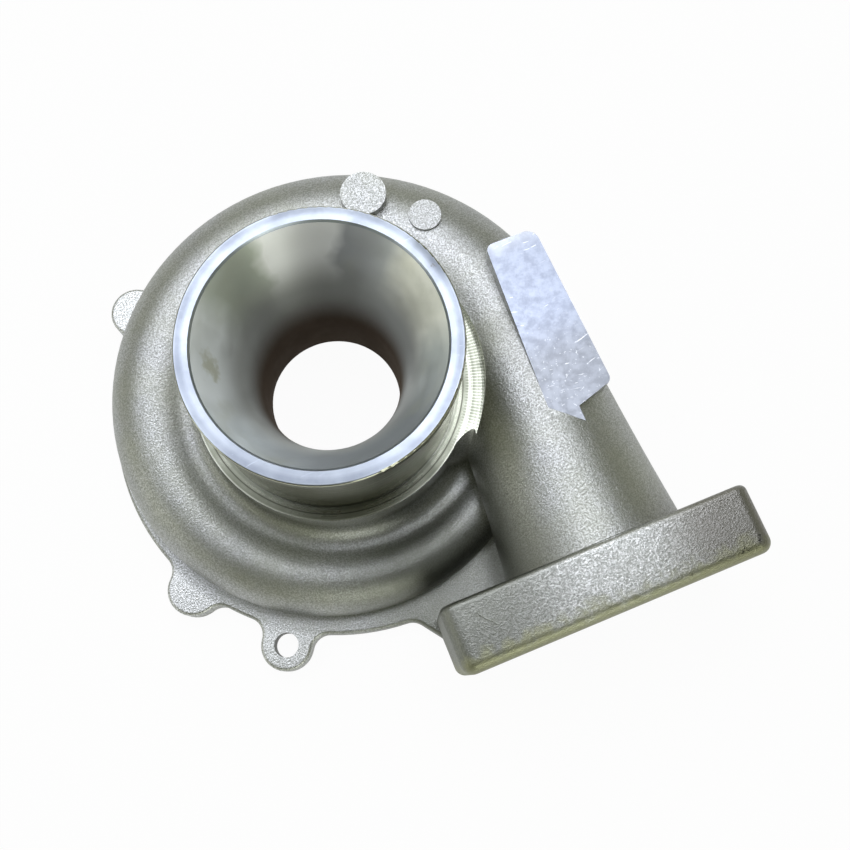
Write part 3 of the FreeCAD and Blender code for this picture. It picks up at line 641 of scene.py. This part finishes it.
def makeMilled():
    # Face milled with a small cutter: slow mottling, fine strokes, a few scratches, a darker grey low end and
    # a painted reflection whitening the upper end
    material, tree, shader = newMaterial("milledFace")
    place = objectPlace(tree)
    along = axesOf(tree, place)["Y"]
    long = mappingNode(tree, place, Scale=(1.0, padLook["strokeStretch"], 1.0))
    strokes = noiseNode(tree, long, padLook["strokeScale"], *padLook["strokeNoise"])["Fac"]
    mottle = noiseNode(tree, place, padLook["mottleScale"], *padLook["mottleNoise"])["Fac"]
    mottle = rangeNode(tree, mottle, *padLook["mottle"])
    # Darker grey towards the low end of the face, where the chips also sit
    lowEndGrey = rangeNode(tree, along, *padLook["lowEndPart"], padLook["lowEndShare"], 0.0)
    chips = noiseNode(tree, place, padLook["chipScale"], *padLook["chipNoise"])["Fac"]
    chips = rangeNode(tree, chips, *padLook["chipped"])
    chips = mathNode(tree, "MULTIPLY", chips, mathNode(tree, "MULTIPLY", lowEndGrey, padLook["chipShare"]))
    scratch = mathNode(tree, "MULTIPLY", placeGroup(tree, handling)["Scratch"], padLook["scratchShare"])
    colour = mixColours(tree, mottle, padLook["dark"], padLook["light"])
    colour = mixColours(tree, lowEndGrey, colour, padLook["lowEndGrey"])
    colour = mixColours(tree, chips, colour, padLook["chip"])
    # Painted reflection: the face turns white towards its upper end
    colour = mixColours(tree, rangeNode(tree, along, *padLook["reflectionPart"]), colour, padLook["bright"])
    colour = mixColours(tree, scratch, colour, padLook["scratch"])
    connect(tree, colour, shader.inputs["Base Color"])
    rough = rangeNode(tree, mottle, 0.0, 1.0, padLook["rough"], padLook["smooth"])
    connect(tree, rough, shader.inputs["Roughness"])
    addBump(tree, shader, strokes, padLook["strokeStrength"], padLook["strokeDepth"])
    return material


drilledLook = {
    "colour": (0.50, 0.50, 0.48, 1.0),
    "rough": 0.38,
    "pitch": 0.0015,
    "threadStrength": 0.8,
    "threadDepth": 0.0003,
}


def makeDrilled():
    # Wall of a tapped hole: the thread is a fine wave along the hole
    material, tree, shader = newMaterial("drilledWall", roughness=drilledLook["rough"])
    shader.inputs["Base Color"].default_value = drilledLook["colour"]
    axes = axesOf(tree, objectPlace(tree))
    depth = mathNode(tree, "ADD", axes["Y"], axes["Z"])
    turns = mathNode(tree, "MULTIPLY", depth, 2 * math.pi / drilledLook["pitch"])
    thread = mathNode(tree, "SINE", turns)
    addBump(tree, shader, thread, drilledLook["threadStrength"], drilledLook["threadDepth"])
    return material


# Housing: the casting with its machined zones

zones = {
    "mergeDistance": 0.000001,
    "tolerance": 0.00006,
    "levelNormal": 0.99,
    "steepNormal": 0.3,
    "uprightNormal": 0.1,
    "top": 0.1020,
    "chamferFoot": 0.1011,
    "shoulder": 0.0485,
    "shoulderReach": 0.0606,
    "shoulderWall": 0.0601,
    "boreReach": 0.0460,
    "collarReach": 0.0515,
    "recess": 0.0080,
    "recessRadius": 0.0860,
    "diffuser": 0.0125,
    "diffuserRadius": 0.0686,
    "pad": 0.0642,
    "padSide": 0.0700,
    "padEnd": -0.0560,
    "outlet": -0.1242,
    "sharpAngle": 32.0,
}
holes = {
    "outletRadius": 0.0045,
    "outletPlaces": ((0.0198, 0.0125), (0.1118, 0.0125), (0.1118, 0.0585), (0.0198, 0.0585)),
    "outletEnd": -0.1060,
    "rimTop": 0.0101,
    "rimRadius": 0.0027,
    "rimCircle": 0.0910,
    "rimCount": 6,
    "rimFirst": 12.0,
    "eyeRadius": 0.0052,
    "eyePlace": (-0.055687, -0.085099),
}


def near(value, level):
    return abs(value - level) < zones["tolerance"]


def inHole(middle):
    for across, up in holes["outletPlaces"]:
        offset = math.hypot(middle.x - across, middle.z - up)
        if middle.y < holes["outletEnd"] and offset < holes["outletRadius"]:
            return True
    if middle.z > holes["rimTop"]:
        return False
    for index in range(holes["rimCount"]):
        angle = math.radians(holes["rimFirst"] + 360.0 * index / holes["rimCount"])
        across = middle.x - holes["rimCircle"] * math.cos(angle)
        up = middle.y - holes["rimCircle"] * math.sin(angle)
        if math.hypot(across, up) < holes["rimRadius"]:
            return True
    eye = holes["eyePlace"]
    return math.hypot(middle.x - eye[0], middle.y - eye[1]) < holes["eyeRadius"]


def onShoulder(middle, radius, steepness):
    if radius >= zones["shoulderReach"]:
        return False
    if near(middle.z, zones["shoulder"]) and steepness > zones["levelNormal"]:
        return True
    onWall = radius > zones["shoulderWall"] and steepness < zones["steepNormal"]
    return onWall and middle.z > zones["shoulder"]


def onBack(middle, radius, steepness):
    if middle.z < zones["tolerance"]:
        return True
    if near(radius, zones["recessRadius"]) and middle.z < zones["recess"]:
        return steepness < zones["uprightNormal"]
    if steepness <= zones["levelNormal"]:
        return False
    inRecess = near(middle.z, zones["recess"]) and radius < zones["recessRadius"]
    return inRecess or (near(middle.z, zones["diffuser"]) and radius < zones["diffuserRadius"])


def zoneOf(middle, normal):
    radius = math.hypot(middle.x, middle.y)
    steepness = abs(normal.z)
    if inHole(middle) and steepness <= zones["levelNormal"]:
        return "drilledWall"
    if middle.z > zones["chamferFoot"] and radius < zones["collarReach"]:
        return "inletRing" if near(middle.z, zones["top"]) or radius < zones["boreReach"] else "neckWall"
    if radius < zones["boreReach"] and middle.z > zones["diffuser"] + zones["tolerance"]:
        return "bellMouth"
    if middle.z > zones["shoulder"] + zones["tolerance"] and radius < zones["collarReach"]:
        return "neckWall"
    if onShoulder(middle, radius, steepness):
        return "shoulderCut"
    onPad = near(middle.z, zones["pad"]) and middle.x > zones["padSide"] and middle.y > zones["padEnd"]
    if onPad or near(middle.y, zones["outlet"]):
        return "milledFace"
    return "backFace" if onBack(middle, radius, steepness) else "castSkin"


def makeHousing():
    shape = bmesh.new()
    shape.from_mesh(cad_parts["compressor_housing"].data)
    bmesh.ops.remove_doubles(shape, verts=shape.verts, dist=zones["mergeDistance"])
    materials = {
        "castSkin": makeCastSkin(),
        "bellMouth": makeBell(),
        "milledFace": makeMilled(),
        "drilledWall": makeDrilled(),
    }
    for name, look in turnedLooks.items():
        materials[name] = makeTurned(name, look)
    order = list(materials)
    for face in shape.faces:
        face.smooth = True
        face.material_index = order.index(zoneOf(face.calc_center_median(), face.normal))
    mesh = bpy.data.meshes.new("housingCasting")
    shape.to_mesh(mesh)
    shape.free()
    for name in order:
        mesh.materials.append(materials[name])
    for name in ("custom_normal", "sharp_face", "sharp_edge"):
        if name in mesh.attributes:
            mesh.attributes.remove(mesh.attributes[name])
    mesh.set_sharp_from_angle(angle=math.radians(zones["sharpAngle"]))
    piece = bpy.data.objects.new("housingCasting", mesh)
    bpy.context.scene.collection.objects.link(piece)
    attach(piece, "root")
    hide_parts("compressor_housing")
    return piece


housing = makeHousing()
print("housing dressed:", len(housing.data.polygons), "faces")


# Floor, lamps and world

stage = {
    "floorSize": 8.0,
    "floorDrop": -0.0003,
    "floorColour": (0.86, 0.86, 0.85, 1.0),
    "floorWhite": 0.96,
    "floorMirrored": 0.22,
    "worldColour": (0.97, 1.0, 0.74, 1.0),
    "horizonStrength": 0.37,
    "zenithStrength": 0.10,
    "horizonEnds": 0.30,
    "zenithStarts": 0.70,
}


def seenShare(tree, direct, mirrored):
    # White share for rays from the camera and for mirrored and bent ones
    path = addNode(tree, "ShaderNodeLightPath")
    bent = mathNode(tree, "MAXIMUM", path.outputs["Is Glossy Ray"], path.outputs["Is Transmission Ray"])
    bent = mathNode(tree, "MULTIPLY", bent, mirrored)
    seen = mathNode(tree, "MULTIPLY", path.outputs["Is Camera Ray"], direct)
    return mathNode(tree, "MAXIMUM", seen, bent)


def makeFloor():
    material = bpy.data.materials.new("floor")
    material.use_nodes = True
    tree = material.node_tree
    tree.nodes.clear()
    output = addNode(tree, "ShaderNodeOutputMaterial")
    lit = addNode(tree, "ShaderNodeBsdfDiffuse")
    lit.inputs["Color"].default_value = stage["floorColour"]
    white = addNode(tree, "ShaderNodeEmission")
    mix = addNode(tree, "ShaderNodeMixShader")
    connect(tree, seenShare(tree, stage["floorWhite"], stage["floorMirrored"]), mix.inputs[0])
    connect(tree, lit.outputs[0], mix.inputs[1])
    connect(tree, white.outputs[0], mix.inputs[2])
    connect(tree, mix.outputs[0], output.inputs[0])
    shape = bmesh.new()
    bmesh.ops.create_grid(shape, x_segments=1, y_segments=1, size=stage["floorSize"] / 2)
    bmesh.ops.translate(shape, verts=shape.verts, vec=(0.0, 0.0, stage["floorDrop"]))
    mesh = bpy.data.meshes.new("floor")
    shape.to_mesh(mesh)
    shape.free()
    mesh.materials.append(material)
    floor = bpy.data.objects.new("floor", mesh)
    bpy.context.scene.collection.objects.link(floor)


lamps = {
    "backPanel": dict(place=(0.13, 0.72, 1.10), size=0.8, power=5.2, colour=(0.92, 0.95, 1.0)),
    "leftPanel": dict(place=(-0.50, 0.42, 1.12), size=0.8, power=4.2, colour=(0.89, 0.92, 1.0)),
    "rightPanel": dict(place=(0.28, 0.12, 1.20), size=0.36, power=2.5, colour=(0.90, 0.93, 1.0)),
    "frontPanel": dict(place=(0.09, -1.05, 0.56), size=0.5, power=2.1, colour=(0.96, 1.0, 0.90)),
    "leftLowPanel": dict(place=(-1.05, -0.05, 0.42), size=0.4, power=0.8, colour=(0.98, 1.0, 0.95)),
}


def makeLamps():
    for name, lamp in lamps.items():
        data = bpy.data.lights.new(name, "AREA")
        data.shape = "SQUARE"
        data.size = lamp["size"]
        data.energy = lamp["power"]
        data.color = lamp["colour"]
        holder = bpy.data.objects.new(name, data)
        holder.location = lamp["place"]
        holder.rotation_euler = (-Vector(lamp["place"])).to_track_quat("-Z", "Y").to_euler()
        bpy.context.scene.collection.objects.link(holder)


def makeWorld():
    # Soft light that fades from horizon to zenith, and white for the camera
    world = bpy.data.worlds.new("studio")
    bpy.context.scene.world = world
    world.use_nodes = True
    tree = world.node_tree
    tree.nodes.clear()
    output = addNode(tree, "ShaderNodeOutputWorld")
    soft = addNode(tree, "ShaderNodeBackground")
    soft.inputs["Color"].default_value = stage["worldColour"]
    height = axesOf(tree, addNode(tree, "ShaderNodeTexCoord").outputs["Generated"])["Z"]
    strength = rangeNode(
        tree, height, stage["horizonEnds"], stage["zenithStarts"],
        stage["horizonStrength"], stage["zenithStrength"])
    connect(tree, strength, soft.inputs["Strength"])
    white = addNode(tree, "ShaderNodeBackground")
    white.inputs["Color"].default_value = (1.0, 1.0, 1.0, 1.0)
    path = addNode(tree, "ShaderNodeLightPath")
    mix = addNode(tree, "ShaderNodeMixShader")
    connect(tree, path.outputs["Is Camera Ray"], mix.inputs[0])
    connect(tree, soft.outputs[0], mix.inputs[1])
    connect(tree, white.outputs[0], mix.inputs[2])
    connect(tree, mix.outputs[0], output.inputs[0])


makeFloor()
makeLamps()
makeWorld()
bpy.context.scene.view_settings.view_transform = "Standard"
print("floor, lamps and world in place")
